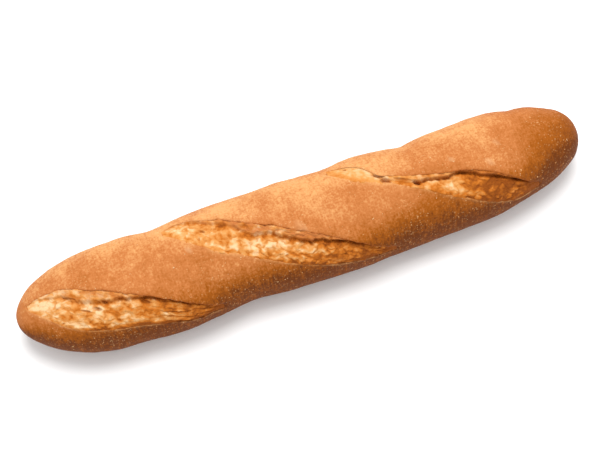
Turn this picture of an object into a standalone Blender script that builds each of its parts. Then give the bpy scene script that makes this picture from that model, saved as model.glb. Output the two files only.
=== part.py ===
"""A demi-baguette: one baked loaf with three slanting cuts that opened in the oven.

The loaf lies on its flat underside. +X runs along it, +Y is the far side that the ears
of the cuts lift towards, +Z is up, and the origin is under the middle of its outline box.
Lengths are in metres and angles in degrees round the section, 0 at the top of the crown
and positive towards the far side.
"""

import math
from collections import namedtuple

import bmesh
import bpy
from mathutils import Matrix, Vector

# ---- driving sizes ------------------------------------------------------------------
LENGTH = 0.330
BELLY_WIDTH = 0.0582         # across the middle, before the swells
HEIGHT = 0.045
WIDEST_AT = 0.42             # height of the widest line, as a share of HEIGHT
UNDERSIDE_DROP = 1.30        # the lower half would reach this much deeper, if it weren't flat
SHOULDER = 0.12              # fullness between the crown and the side
TAPER = 0.032                # wider at the -X end, narrower at the +X end

# ---- the two rounded ends: reach, and how pointed (low) or blunt (high) ----------------
Nose = namedtuple("Nose", "reach point blunt bow")
LEFT_NOSE = Nose(reach=0.052, point=1.45, blunt=2.0, bow=0.0038)
RIGHT_NOSE = Nose(reach=0.062, point=1.80, blunt=2.4, bow=0.0044)
BOW_POWER = 3                # the ends curl to the far side, the middle stays straight

# ---- swells of the two sides: station along the loaf 0..1, spread 0..1, and rise --------
Swell = namedtuple("Swell", "station spread rise")
FAR_SWELLS = (
    Swell(0.15, 0.05, -0.0018),
    Swell(0.25, 0.04, -0.0024),
    Swell(0.37, 0.05, 0.0013),
    Swell(0.47, 0.05, 0.0012),
    Swell(0.61, 0.04, 0.0017),
    Swell(0.70, 0.04, -0.0010),
    Swell(0.86, 0.05, 0.0005),
)
NEAR_SWELLS = (
    Swell(0.08, 0.05, 0.0013),
    Swell(0.26, 0.06, 0.0013),
    Swell(0.38, 0.05, -0.0025),
    Swell(0.55, 0.07, 0.0009),
    Swell(0.90, 0.06, -0.0013),
)

# ---- the cuts -----------------------------------------------------------------------
# Each cut slants round the loaf. Its two edges are drawn in "lay": the angle round the
# section after the slant is taken out, so that a cut runs along a nearly constant lay.
# A point of an edge is (station along X in metres, lay in degrees).
SLANT = 970.0                # degrees round the section for each metre of length
Cut = namedtuple("Cut", "name ear rim depth lift")
CUTS = (
    Cut(
        name="left",
        ear=((-0.158, -141), (-0.150, -133), (-0.137, -126), (-0.105, -120), (-0.075, -118),
             (-0.056, -131)),
        rim=((-0.158, -141), (-0.155, -157), (-0.147, -168), (-0.136, -174), (-0.118, -167),
             (-0.095, -155), (-0.070, -146), (-0.056, -131)),
        depth=0.0050,
        lift=0.0022,
    ),
    Cut(
        name="middle",
        ear=((-0.078, -40), (-0.070, -29), (-0.058, -24), (-0.020, -21), (0.015, -22),
             (0.031, -29), (0.044, -39)),
        rim=((-0.078, -40), (-0.068, -52), (-0.045, -60), (-0.020, -62), (0.008, -64),
             (0.025, -57), (0.044, -39)),
        depth=0.0050,
        lift=0.0024,
    ),
    Cut(
        name="right",
        ear=((0.018, 60), (0.028, 66), (0.037, 64), (0.045, 56), (0.056, 59), (0.076, 67),
             (0.093, 76), (0.108, 76), (0.120, 69), (0.132, 54)),
        rim=((0.018, 60), (0.024, 50), (0.034, 45), (0.060, 48), (0.083, 42), (0.106, 36),
             (0.119, 36), (0.132, 54)),
        depth=0.0055,
        lift=0.0026,
    ),
)
EAR_SPREAD = 13.0            # how far round the section an ear's ridge reaches, degrees
UNDERCUT = 5.0               # how far the hollow runs under the ear, degrees
CUT_HEADROOM = 0.008         # how far a cutter stands over the crust
TIP_FADE = 0.45              # power with which a cut's depth dies out at its two tips
RIM_DEPTH = 0.30             # depth by the rim, as a share of the depth under the ear

# ---- mesh fineness --------------------------------------------------------------------
LOAF_RINGS = 76
LOAF_SEGMENTS = 44
CUT_RINGS = 30
CUT_SEGMENTS = 18
TIP_CROWDING = 0.75          # 0 spaces the rings evenly, 1 crowds them at the tips
NORMAL_STEP = 0.0005         # stations and angles apart that a normal is measured over
NORMAL_TURN = 0.5

CRUST_COLOUR = (0.56, 0.25, 0.08, 1.0)
CRUST_ROUGHNESS = 0.62


def nose_scale(x):
    """Size of the section at station x, 1 in the middle and 0 at the two tips."""
    scale = 1.0
    for nose, away in ((LEFT_NOSE, LENGTH / 2 + x), (RIGHT_NOSE, LENGTH / 2 - x)):
        reached = min(max(away / nose.reach, 0.0), 1.0)
        scale *= max(1.0 - (1.0 - reached) ** nose.point, 0.0) ** (1.0 / nose.blunt)
    return scale


def swollen(x, swells):
    """How far the given swells push a side out at station x."""
    station = x / LENGTH + 0.5
    return sum(s.rise * math.exp(-((station - s.station) / s.spread) ** 2) for s in swells)


def bow(x):
    """How far the loaf's middle line has curled to the far side at station x."""
    nose = LEFT_NOSE if x < 0 else RIGHT_NOSE
    return nose.bow * abs(2 * x / LENGTH) ** BOW_POWER


def edge_lay(edge, x):
    """Lay of a cut's edge at station x: a smooth line through the edge's points."""
    last = len(edge) - 2
    here = max((i for i in range(last + 1) if edge[i][0] <= x), default=0)
    before, start, end, after = (edge[min(max(i, 0), last + 1)] for i in range(here - 1, here + 3))
    t = min(max((x - start[0]) / (end[0] - start[0]), 0.0), 1.0)
    gap = end[0] - start[0]
    rise_in = (end[1] - before[1]) / (end[0] - before[0]) * gap
    rise_out = (after[1] - start[1]) / (after[0] - start[0]) * gap
    return (
        (2 * t**3 - 3 * t**2 + 1) * start[1]
        + (t**3 - 2 * t**2 + t) * rise_in
        + (3 * t**2 - 2 * t**3) * end[1]
        + (t**3 - t**2) * rise_out
    )


def along_cut(cut, x):
    """Place of station x along a cut: 0 and 1 at its tips."""
    first, final = cut.ear[0][0], cut.ear[-1][0]
    return (x - first) / (final - first)


def tip_fade(place):
    """1 along the middle of a cut, dying to 0 at its two tips."""
    if not 0.0 < place < 1.0:
        return 0.0
    return math.sin(math.pi * place) ** TIP_FADE


def ear_lift(x, angle):
    """How far the ears raise the crust at station x and angle round the section."""
    lift = 0.0
    for cut in CUTS:
        fade = tip_fade(along_cut(cut, x))
        if fade > 0.0:
            beyond = angle + SLANT * x - edge_lay(cut.ear, x)
            lift += cut.lift * fade * math.exp(-(beyond / EAR_SPREAD) ** 2)
    return lift


def loaf_point(x, angle):
    """Point of the smooth loaf, without its ears."""
    turn = math.radians(angle)
    scale = nose_scale(x)
    half = BELLY_WIDTH / 2 * (1.0 - TAPER * 2 * x / LENGTH)
    half += swollen(x, FAR_SWELLS if math.sin(turn) > 0 else NEAR_SWELLS)
    widest = WIDEST_AT * HEIGHT
    rise = HEIGHT - widest if math.cos(turn) > 0 else widest * UNDERSIDE_DROP
    y = half * scale * math.sin(turn) * (1.0 + SHOULDER * math.cos(turn) ** 2) + bow(x)
    z = max(widest + rise * scale * math.cos(turn), 0.0)
    return Vector((x, y, z))


def loaf_normal(x, angle):
    """Outward direction of the smooth loaf at a station and angle."""
    inside = LENGTH / 2 - NORMAL_STEP
    x = min(max(x, -inside), inside)
    along = loaf_point(x + NORMAL_STEP, angle) - loaf_point(x - NORMAL_STEP, angle)
    across = loaf_point(x, angle + NORMAL_TURN) - loaf_point(x, angle - NORMAL_TURN)
    return along.cross(across).normalized()


def crust_point(x, angle, height):
    """Point at a height over the smooth loaf, negative inside it."""
    if height == 0.0:
        return loaf_point(x, angle)
    return loaf_point(x, angle) + height * loaf_normal(x, angle)


def crust_material():
    """Baked crust, one even golden brown."""
    material = bpy.data.materials.new("baked_crust")
    material.use_nodes = True
    shader = material.node_tree.nodes["Principled BSDF"]
    shader.inputs["Base Color"].default_value = CRUST_COLOUR
    shader.inputs["Roughness"].default_value = CRUST_ROUGHNESS
    shader.inputs["Metallic"].default_value = 0.0
    return material


def sphere_with_poles_on_x(segments, rings, place):
    """A UV sphere with its poles on X, each vertex moved to place(run, turn).

    run goes from 0 at the -X pole to 1 at the +X pole, and turn is the angle in degrees
    round X, 0 at the top and positive towards +Y.
    """
    bm = bmesh.new()
    bmesh.ops.create_uvsphere(bm, u_segments=segments, v_segments=rings, radius=1.0)
    bmesh.ops.rotate(bm, verts=bm.verts, cent=(0, 0, 0), matrix=Matrix.Rotation(math.pi / 2, 3, "Y"))
    for vertex in bm.verts:
        run = 1.0 - math.acos(min(max(vertex.co.x, -1.0), 1.0)) / math.pi
        turn = math.degrees(math.atan2(vertex.co.y, vertex.co.z))
        vertex.co = place(run, turn)
    bmesh.ops.recalc_face_normals(bm, faces=bm.faces)
    return bm


def mesh_object(name, bm, collection):
    """Store a bmesh as a smooth-shaded object of a collection."""
    mesh = bpy.data.meshes.new(name)
    bm.to_mesh(mesh)
    bm.free()
    mesh.shade_smooth()
    mesh.set_sharp_from_angle(angle=math.radians(40))
    item = bpy.data.objects.new(name, mesh)
    collection.objects.link(item)
    return item


def place_on_loaf(run, turn):
    """Vertex of the whole loaf: smooth crust and the raised ears."""
    crowded = -math.cos(math.pi * run)
    even = 2 * run - 1
    x = LENGTH / 2 * (TIP_CROWDING * crowded + (1 - TIP_CROWDING) * even)
    return crust_point(x, turn, ear_lift(x, turn))


def place_on_cutter(cut, run, turn):
    """Vertex of a cutter: an open trough that is deepest where it runs under the ear."""
    first, final = cut.ear[0][0], cut.ear[-1][0]
    place = (1 - math.cos(math.pi * run)) / 2
    x = first + (final - first) * place
    ear, rim = edge_lay(cut.ear, x), edge_lay(cut.rim, x)
    side, up = math.sin(math.radians(turn)), math.cos(math.radians(turn))
    to_ear = (1 + side) / 2
    lay = rim + (ear - rim) * to_ear
    fade = tip_fade(place)
    if up > 0:
        height = CUT_HEADROOM * up * fade
    else:
        height = cut.depth * up * fade * (RIM_DEPTH + (1 - RIM_DEPTH) * to_ear)
        lay -= UNDERCUT * up * fade * to_ear
    return crust_point(x, lay - SLANT * x, height)


def build_loaf(collection):
    """The whole loaf before it is cut."""
    bm = sphere_with_poles_on_x(LOAF_SEGMENTS, LOAF_RINGS, place_on_loaf)
    loaf = mesh_object("loaf", bm, collection)
    loaf.data.materials.append(crust_material())
    return loaf


def open_cut(cut, loaf, collection):
    """Take one cut's trough out of the loaf."""
    bm = sphere_with_poles_on_x(
        CUT_SEGMENTS, CUT_RINGS, lambda run, turn: place_on_cutter(cut, run, turn)
    )
    cutter = mesh_object(f"{cut.name}_cutter", bm, collection)
    cutter.hide_render = True
    cutter.display_type = "WIRE"
    boolean = loaf.modifiers.new(f"{cut.name} cut", "BOOLEAN")
    boolean.operation = "DIFFERENCE"
    boolean.solver = "EXACT"
    boolean.object = cutter
    return cutter


def centring_offset(item):
    """Shift that puts the middle of an object's outline box, in plan, over the origin."""
    xs = [v.co.x for v in item.data.vertices]
    ys = [v.co.y for v in item.data.vertices]
    return Vector((-(min(xs) + max(xs)) / 2, -(min(ys) + max(ys)) / 2, 0.0))


def new_collection(name):
    collection = bpy.data.collections.new(name)
    bpy.context.scene.collection.children.link(collection)
    return collection


def main():
    for item in list(bpy.data.objects):
        bpy.data.objects.remove(item, do_unlink=True)
    parts = new_collection("baguette")
    cutters = new_collection("cutters")

    middle = bpy.data.objects.new("middle", None)
    parts.objects.link(middle)
    loaf = build_loaf(parts)
    pieces = [loaf] + [open_cut(cut, loaf, cutters) for cut in CUTS]
    for piece in pieces:
        piece.parent = middle
    middle.location = centring_offset(loaf)


main()
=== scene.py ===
"""A demi-baguette: crisp golden crust, and torn crumb in three slanting cuts.

Lengths are in metres and angles in degrees round the loaf, 0 at the top of the crown and
positive towards the far side (+Y). +X runs along the loaf towards its thinner end.
"""

import math
from collections import namedtuple

import bmesh
import bpy
import numpy as np
from bpy.props import FloatProperty, FloatVectorProperty, IntProperty, PointerProperty
from mathutils import Matrix, Vector, noise


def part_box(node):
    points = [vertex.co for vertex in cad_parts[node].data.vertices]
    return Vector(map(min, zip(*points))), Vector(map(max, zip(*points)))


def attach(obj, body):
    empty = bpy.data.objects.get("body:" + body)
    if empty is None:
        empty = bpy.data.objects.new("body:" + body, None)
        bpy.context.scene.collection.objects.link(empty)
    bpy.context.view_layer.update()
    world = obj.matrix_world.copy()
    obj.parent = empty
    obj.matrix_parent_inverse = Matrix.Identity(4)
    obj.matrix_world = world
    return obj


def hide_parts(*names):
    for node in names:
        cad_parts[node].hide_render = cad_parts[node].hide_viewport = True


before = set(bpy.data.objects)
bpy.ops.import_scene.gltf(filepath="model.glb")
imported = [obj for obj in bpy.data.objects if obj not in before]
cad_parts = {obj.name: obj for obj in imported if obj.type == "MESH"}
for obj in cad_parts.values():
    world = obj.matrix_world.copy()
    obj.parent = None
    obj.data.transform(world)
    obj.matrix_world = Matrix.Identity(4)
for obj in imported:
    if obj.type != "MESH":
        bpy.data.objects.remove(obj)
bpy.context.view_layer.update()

bl_info = {
    "name": "Demi-baguette",
    "version": (1, 0, 0),
    "blender": (4, 5, 0),
    "location": "3D View > Sidebar > Baguette",
    "description": "Models a baked demi-baguette with opened cuts, and a plain stage for it",
    "category": "Add Mesh",
}

LOAF_LOW, LOAF_HIGH = (Vector(corner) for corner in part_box("loaf"))
MM = 0.001

# ---- form of the loaf -----------------------------------------------------------------
CROWN_SHARE = 45.0 / 47.5    # plain crown's height, as a share of the height with the ears
BELLY_SHARE = 58.2 / 61.2    # belly across, before the swells, as a share of the whole width
WIDEST_AT = 0.42             # height of the widest line, as a share of the crown's height
UNDERSIDE_DROP = 1.30        # the lower half would reach this much deeper, if it weren't flat
SHOULDER = 0.12              # fullness between the crown and the side
TAPER = 0.032                # wider at the -X end, narrower at the +X end
BASE_ROUNDING = 1.6 * MM     # how softly the side turns into the flat underside
SIDE_BLEND = 0.25            # share of the width over which near half and far half blend

# An end of the loaf: how far along it narrows, how soon it does, how round its tip is, and
# how far the loaf curled to the far side there.
Nose = namedtuple("Nose", "reach point blunt bow")
LEFT_NOSE = Nose(reach=0.052, point=1.45, blunt=2.0, bow=0.0038)
RIGHT_NOSE = Nose(reach=0.062, point=1.80, blunt=2.4, bow=0.0044)
BOW_POWER = 3

# A swell pushes a side out, or in. Its station and spread are shares of the loaf's length.
Swell = namedtuple("Swell", "station spread rise")
FAR_SWELLS = (
    Swell(0.15, 0.05, -0.0018),
    Swell(0.25, 0.04, -0.0024),
    Swell(0.37, 0.05, 0.0013),
    Swell(0.47, 0.05, 0.0012),
    Swell(0.61, 0.04, 0.0017),
    Swell(0.70, 0.04, -0.0010),
    Swell(0.86, 0.05, 0.0005),
)
FAR_FOLDS = (
    Swell(0.695, 0.016, -0.0011),
    Swell(0.893, 0.013, -0.0010),
    Swell(0.925, 0.020, 0.0007),
)
NEAR_SWELLS = (
    Swell(0.08, 0.05, 0.0013),
    Swell(0.26, 0.06, 0.0013),
    Swell(0.38, 0.05, -0.0025),
    Swell(0.55, 0.07, 0.0009),
    Swell(0.90, 0.06, -0.0013),
)

# The crust wanders from the smooth form in waves of these sizes.
Wave = namedtuple("Wave", "size weight seed")
CRUST_WAVES = (Wave(26 * MM, 1.0, 1.0), Wave(9 * MM, 0.42, 2.0), Wave(3.2 * MM, 0.16, 3.0))
STILL_BELOW = 0.5 * MM       # the underside doesn't wander up to this height
FREE_ABOVE = 5 * MM          # and the side wanders fully from this height
STILL_TIP = 6 * MM           # length at each tip over which the wandering sets in

# ---- the cuts -------------------------------------------------------------------------
# A cut slants round the loaf. Its edges, the ear on the far side and the rim on the near
# side, are drawn in "lay": the angle round the section after the slant is taken out. A
# point of an edge is (station along X, lay in degrees). All else is drawn along the cut,
# from 0 at its -X tip to 1 at its +X tip:
#   lift     height of the ear, as a share of a full one
#   ledge    torn band under the ear, as a share of the cut's width
#   crease   depth of the gully below that band, in millimetres
#   bulge    height of the crumb that swelled up below the gully, in millimetres
#   rough    how strong the crumb's lumps are
#   strands  how far lumps give way to fibres that run along the cut
#   fuzz     how ragged the border at the rim is, 0 for a clean edge
#   toast    colour of the crumb, 0 cream to 1 brown
#   skin     how much of the ledge is still covered in crust
SLANT = 970.0                # degrees round the section for each metre of length
DEGREE = 0.5 * MM            # what a degree round the section is long, near enough
Cut = namedtuple("Cut", "name ear rim lift ledge crease bulge rough strands fuzz toast skin seed")
CUTS = (
    Cut(
        name="left",
        ear=((-0.158, -141), (-0.150, -133), (-0.137, -126), (-0.105, -120), (-0.075, -118),
             (-0.056, -131)),
        rim=((-0.158, -141), (-0.155, -157), (-0.147, -168), (-0.136, -174), (-0.118, -167),
             (-0.095, -155), (-0.070, -146), (-0.056, -131)),
        lift=((0.0, 0.1), (0.14, 0.35), (0.3, 0.9), (0.6, 1.0), (1.0, 0.9)),
        ledge=((0.0, 0.10), (0.12, 0.20), (0.3, 0.30), (0.45, 0.24), (0.6, 0.07), (1.0, 0.02)),
        crease=((0.0, 0.3), (0.15, 0.8), (0.35, 1.2), (0.5, 1.8), (0.62, 2.2), (0.85, 2.0), (1.0, 1.2)),
        bulge=((0.0, 0.0), (0.3, 0.9), (0.6, 0.6), (1.0, 0.0)),
        rough=((0.0, 0.4), (0.15, 0.7), (0.3, 0.9), (0.65, 0.9), (1.0, 0.7)),
        strands=((0.0, 0.1), (0.5, 0.15), (0.68, 0.8), (1.0, 1.0)),
        fuzz=((0.0, 1.0), (0.12, 0.7), (0.2, 0.3), (0.35, 0.0), (1.0, 0.0)),
        toast=((0.0, 0.28), (0.12, 0.22), (0.3, 0.30), (0.42, 0.38), (0.55, 0.54), (0.7, 0.60),
               (0.85, 0.70), (1.0, 0.85)),
        skin=((0.0, 0.2), (0.15, 0.35), (0.6, 0.5), (1.0, 0.3)),
        seed=3.0,
    ),
    Cut(
        name="middle",
        ear=((-0.078, -40), (-0.070, -29), (-0.058, -24), (-0.020, -21), (0.015, -22),
             (0.031, -29), (0.044, -39)),
        rim=((-0.078, -40), (-0.068, -52), (-0.045, -60), (-0.020, -61), (0.008, -60),
             (0.025, -54), (0.044, -39)),
        lift=((0.0, 0.3), (0.12, 0.5), (0.3, 0.9), (0.6, 1.1), (1.0, 0.9)),
        ledge=((0.0, 0.05), (0.2, 0.12), (0.38, 0.23), (0.55, 0.28), (0.68, 0.14), (0.8, 0.08),
               (1.0, 0.04)),
        crease=((0.0, 0.3), (0.25, 0.8), (0.38, 1.0), (0.46, 1.5), (0.6, 1.9), (0.74, 1.8),
                (0.85, 1.3), (1.0, 1.0)),
        bulge=((0.0, 0.2), (0.3, 0.6), (0.6, 0.9), (0.85, 0.5), (1.0, 0.0)),
        rough=((0.0, 0.3), (0.15, 0.8), (0.35, 1.0), (0.8, 1.0), (1.0, 0.7)),
        strands=((0.0, 0.2), (0.3, 0.1), (0.78, 0.1), (0.9, 0.9), (1.0, 1.0)),
        fuzz=((0.0, 0.8), (0.30, 0.9), (0.48, 0.2), (1.0, 0.0)),
        toast=((0.0, 0.30), (0.1, 0.30), (0.3, 0.36), (0.45, 0.33), (0.6, 0.46), (0.7, 0.58),
               (0.85, 0.84), (1.0, 0.98)),
        skin=((0.0, 0.5), (0.3, 0.8), (0.6, 0.9), (1.0, 0.6)),
        seed=11.0,
    ),
    Cut(
        name="right",
        ear=((0.018, 60), (0.028, 66), (0.037, 64), (0.045, 56), (0.056, 59), (0.076, 67),
             (0.093, 76), (0.108, 76), (0.120, 69), (0.132, 54)),
        rim=((0.018, 60), (0.024, 50), (0.034, 45), (0.060, 48), (0.083, 42), (0.106, 36),
             (0.119, 36), (0.132, 54)),
        lift=((0.0, 0.0), (0.2, 0.1), (0.4, 0.7), (0.7, 1.1), (1.0, 0.9)),
        ledge=((0.0, 0.02), (0.17, 0.04), (0.23, 0.34), (0.27, 0.47), (0.33, 0.54), (0.40, 0.52),
               (0.48, 0.30), (0.58, 0.08), (0.64, 0.08), (0.71, 0.11), (0.8, 0.10), (0.9, 0.06),
               (1.0, 0.03)),
        crease=((0.0, 0.0), (0.17, 0.1), (0.23, 0.9), (0.32, 0.7), (0.38, 1.2), (0.44, 2.0),
                (0.5, 2.4), (0.6, 2.2), (0.9, 2.0), (1.0, 0.8)),
        bulge=((0.0, 0.0), (0.15, 0.3), (0.3, 0.0), (0.5, 0.8), (0.8, 0.8), (1.0, 0.0)),
        rough=((0.0, 0.10), (0.2, 0.15), (0.26, 0.5), (0.36, 0.6), (0.5, 0.9), (1.0, 1.0)),
        strands=((0.0, 0.0), (0.3, 0.5), (0.5, 0.2), (0.85, 0.1), (1.0, 0.8)),
        fuzz=((0.0, 0.8), (0.3, 0.9), (0.6, 0.7), (0.75, 0.1), (1.0, 0.0)),
        toast=((0.0, 0.28), (0.2, 0.24), (0.34, 0.30), (0.42, 0.40), (0.55, 0.44), (0.7, 0.72),
               (0.85, 0.88), (1.0, 0.98)),
        skin=((0.0, 0.0), (0.35, 0.1), (0.5, 0.4), (1.0, 0.5)),
        seed=23.0,
    ),
)
TIP_RUN = 0.14               # share of a cut over which it opens at each tip

# Holes torn in the crumb: station, lay, half its length in metres, half its width in
# degrees, and depth in millimetres.
Hole = namedtuple("Hole", "cut station lay length spread depth")
HOLES = (
    Hole("right", 0.0470, 49.5, 0.0023, 3.4, 2.8),
    Hole("right", 0.0442, 54.5, 0.0030, 1.6, 1.5),
    Hole("right", 0.0555, 53.6, 0.0040, 1.3, 1.1),
    Hole("right", 0.0625, 52.1, 0.0016, 2.2, 3.4),
    Hole("right", 0.0290, 62.4, 0.0008, 1.5, 1.0),
    Hole("left", -0.1215, -143.5, 0.0020, 1.8, 1.3),
    Hole("left", -0.1170, -134.5, 0.0014, 2.0, 1.5),
    Hole("left", -0.0965, -126.5, 0.0022, 2.4, 2.2),
    Hole("left", -0.1342, -136.4, 0.0034, 1.1, 0.9),
    Hole("left", -0.1279, -148.3, 0.0026, 1.1, 0.9),
    Hole("middle", -0.0560, -38.0, 0.0012, 1.6, 1.2),
)

# Where the crumb took less colour, or more: station, lay, half its length in metres, half
# its width in degrees, and how much.
CrumbPatch = namedtuple("CrumbPatch", "cut station lay length spread amount")
CRUMB_PATCHES = (
    CrumbPatch("left", -0.1060, -130.0, 0.008, 5.0, -0.24),
    CrumbPatch("left", -0.1500, -146.0, 0.009, 9.0, -0.20),
    CrumbPatch("left", -0.1270, -143.0, 0.014, 6.0, -0.12),
    CrumbPatch("left", -0.0870, -124.0, 0.006, 4.0, 0.22),
    CrumbPatch("left", -0.1385, -159.0, 0.0036, 3.0, 0.24),
    CrumbPatch("left", -0.1269, -161.4, 0.0040, 3.4, 0.32),
    CrumbPatch("left", -0.1207, -160.4, 0.0030, 2.4, 0.25),
    CrumbPatch("left", -0.1310, -134.0, 0.0080, 4.0, 0.12),
    CrumbPatch("middle", -0.0560, -45.0, 0.007, 5.0, 0.18),
    CrumbPatch("middle", -0.0260, -45.0, 0.010, 5.0, -0.20),
    CrumbPatch("middle", -0.0080, -40.0, 0.008, 5.0, -0.12),
    CrumbPatch("middle", -0.0220, -50.6, 0.0022, 2.4, 0.42),
    CrumbPatch("middle", -0.0122, -50.0, 0.0024, 2.6, 0.42),
    CrumbPatch("middle", 0.0060, -31.5, 0.0018, 2.6, 0.40),
    CrumbPatch("middle", -0.0345, -54.5, 0.0030, 2.6, 0.35),
    CrumbPatch("middle", 0.0062, -47.5, 0.0050, 2.8, 0.20),
    CrumbPatch("middle", 0.0010, -29.0, 0.012, 4.0, 0.25),
    CrumbPatch("right", 0.0665, 49.0, 0.003, 3.0, -0.30),
    CrumbPatch("right", 0.0762, 51.0, 0.006, 5.0, -0.15),
    CrumbPatch("right", 0.1170, 42.0, 0.010, 8.0, 0.10),
)

# Where flour gathered on the crust: station, lay and radius in metres.
FlourPatch = namedtuple("FlourPatch", "station lay radius")
FLOUR_PATCHES = (
    FlourPatch(-0.0057, -15.5, 0.0050),
    FlourPatch(-0.0665, -62.0, 0.0022),
    FlourPatch(0.0852, 83.4, 0.0020),
    FlourPatch(0.1047, 87.5, 0.0028),
    FlourPatch(0.1117, 111.3, 0.0026),
)

# Where the crust is darker than round about, or lighter: station, turn round the loaf, half its length
# in metres, half its width in degrees, and how much.
TonePatch = namedtuple("TonePatch", "station turn length spread amount")
TONE_PATCHES = (
    TonePatch(0.066, -22.0, 0.042, 24.0, 0.19),
    TonePatch(-0.060, 25.0, 0.014, 20.0, -0.15),
    TonePatch(-0.050, -36.0, 0.018, 14.0, -0.20),
    TonePatch(0.150, -62.0, 0.018, 30.0, 0.45),
    TonePatch(0.142, 38.0, 0.020, 30.0, -0.22),
    TonePatch(-0.158, 0.0, 0.012, 70.0, -0.18),
    TonePatch(-0.134, 22.0, 0.014, 22.0, 0.18),
    TonePatch(-0.161, -80.0, 0.010, 35.0, 0.22),
)

# Section of the crust across a cut, from the crown's near side up to the ear. Each row is
# mesh lines since the row before, the edge that it is measured from, degrees past that
# edge, and height over the smooth loaf in millimetres, negative inside.
ProfileRow = namedtuple("ProfileRow", "lines edge offset height")
CRUST_PROFILE = (
    ProfileRow(0, "rim", -20.0, 0.00),
    ProfileRow(11, "rim", -4.5, 0.04),
    ProfileRow(4, "rim", -1.1, 0.24),
    ProfileRow(2, "rim", 0.2, 0.02),
    ProfileRow(2, "rim", 1.4, -1.30),
    ProfileRow(3, "rim", 6.0, -4.20),
    ProfileRow(3, "ear", -3.0, -5.60),
    ProfileRow(2, "ear", 3.2, -4.60),
    ProfileRow(3, "ear", 4.0, -1.60),
    ProfileRow(3, "ear", 0.8, 0.30),
    ProfileRow(2, "ear", -0.9, 0.95),
    ProfileRow(1, "ear", -1.3, 1.30),
    ProfileRow(1, "ear", -0.8, 1.62),
    ProfileRow(3, "ear", 1.6, 1.80),
    ProfileRow(3, "ear", 5.5, 1.55),
    ProfileRow(9, "ear", 20.0, 0.00),
)
BAND_LINES = sum(row.lines for row in CRUST_PROFILE)
GAP_LINES = (7, 8, 26)       # mesh lines between one cut's band and the next
TOTAL_LINES = len(CUTS) * BAND_LINES + sum(GAP_LINES)
FINE_FROM, FINE_TO = 13, 42  # mesh lines of a band that are made finer
HIDDEN_FROM, HIDDEN_TO = 20, 27     # but not these, which lie under the crumb
FINE_CUTS = 2
CRUST_RINGS = 272
TIP_CROWDING = 0.75          # 0 spaces the rings evenly, 1 crowds them at the tips
TABLE_STATIONS = 1400        # stations at which the crust's lines are worked out

# Tears along the edges of a cut: how far each goes in degrees, its size, and its seed.
Tear = namedtuple("Tear", "reach size seed")
RIM_TEARS = (Tear(1.3, 9 * MM, 0),)
EAR_TEARS = (Tear(1.2, 11 * MM, 1), Tear(0.8, 2.6 * MM, 2))

# Marks along a cut's edges: the mesh line of the band that each lies on, and how wide it is
# in mesh lines.
Mark = namedtuple("Mark", "line spread")
LIP_MARK = Mark(36.0, 2.2)
RIM_HIGHLIGHT_MARK = Mark(15.5, 1.8)
STRETCH_MARK = Mark(17.5, 4.5)
LEAST_LIP = 0.45             # strength of the lip's mark where the ear hardly lifted

# ---- browning of the crust ------------------------------------------------------------
# Bake goes from 0, golden, to 1, brown, and below 0 the crust is pale; it also carries painted shade on
# the near side and painted light on the far crown. Turns are degrees.
NEAR_SIDE = (12.0, 82.0)     # turns over which the near side browns and darkens with painted shade
FAR_SIDE = (55.0, 125.0)     # and the far side
LIT_CREST = (-4.0, 40.0)         # turns over which painted light pales the far crown
PAINTED_LIGHT_ON_CREST = 0.16
RIGHT_END = (0.60, 1.0)      # shares of the half length over which an end browns
LEFT_END = (0.82, 1.0)
LEFT_END_SHARE = 0.4         # the -X end browned less
END_BAKE = 0.62
PATCH_BAKE = 0.17
PATCH_SIZE = 22 * MM
PALEST = -0.35
DRIFT_SIZE = 14 * MM         # of the flour's drifts
FULL_DRIFT = 1.9             # how much more flour lies in a marked patch

CRUMB_RINGS = 430
CRUMB_SEGMENTS = 116
CRUMB_TOP_SHARE = 0.84       # share of the segments that the upper, visible side gets
TIP_INSET = 0.012            # how far short of a cut's tips its crumb stops, as a share
RIM_OVERLAP = 3.0            # how far the crumb runs out past the rim, degrees
EAR_OVERLAP = 3.0            # and in under the ear
RIM_TUCK = 0.85 * MM         # how far its edges dip under rim and ear
EAR_TUCK = 0.6 * MM
BURIED = 5.2 * MM            # depth of its hidden underside where a cut is open
BURIED_AT_TIP = 1.2 * MM
GULLY_LINE = 0.93            # where the gully would be without a ledge, 0 rim to 1 ear
GULLY_DIP = 0.35             # how far the crumb sinks on its way there, in millimetres
SLANT_ON_SKIN = math.atan(SLANT * DEGREE)   # the cuts' slant, in radians on the skin

# Features of the crumb. Lumps, sheets and fibres are longer along a cut: the stretch is how
# far their noise is squeezed that way.
BIG_LUMP = 4.0 * MM
SMALL_LUMP = 4.2 * MM        # creased on both sides, so it looks half this size
BLOTCH = 3.4 * MM            # of colour only
SHEET = 3.0 * MM
FIBRE = 1.5 * MM
POROUS = 0.8 * MM
DRAWN_PATCH = 7 * MM
BUBBLE_SPACING = 4.2 * MM
BEND, BEND_REACH = 5 * MM, 1.3 * MM  # the lumps are bent out of their even spacing
LAYERS = 4.5                 # thin layers side by side where the dough tore in sheets
GROOVE_REACH = 0.80          # share of a lump over which it rises from its groove
LEAST_LUMP = 0.55            # height of the lowest lump, as a share of the highest
LUMP_STRETCH = np.array([0.72, 1.0, 1.0])
SHEET_STRETCH = np.array([0.45, 1.0, 1.0])
FIBRE_STRETCH = np.array([0.15, 1.0, 1.0])

# ---- flour clots ----------------------------------------------------------------------
CLOT_SIZES = (0.14 * MM, 0.36 * MM)  # half their width
LARGE_CLOTS = 0.9            # one clot in ten is larger, by
LARGER_BY = 0.8
CLOT_FLATNESS = 0.35
CLOT_MIDDLE = -12.0          # the clots lie on the crown, about this turn
CLOT_REACH = 95.0            # and this far to each side, in degrees
CLOT_TRIES = 6               # spots drawn for each clot that is kept
IN_CUT = (14, 38)            # mesh lines of a band that are too near the crumb for one

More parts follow.
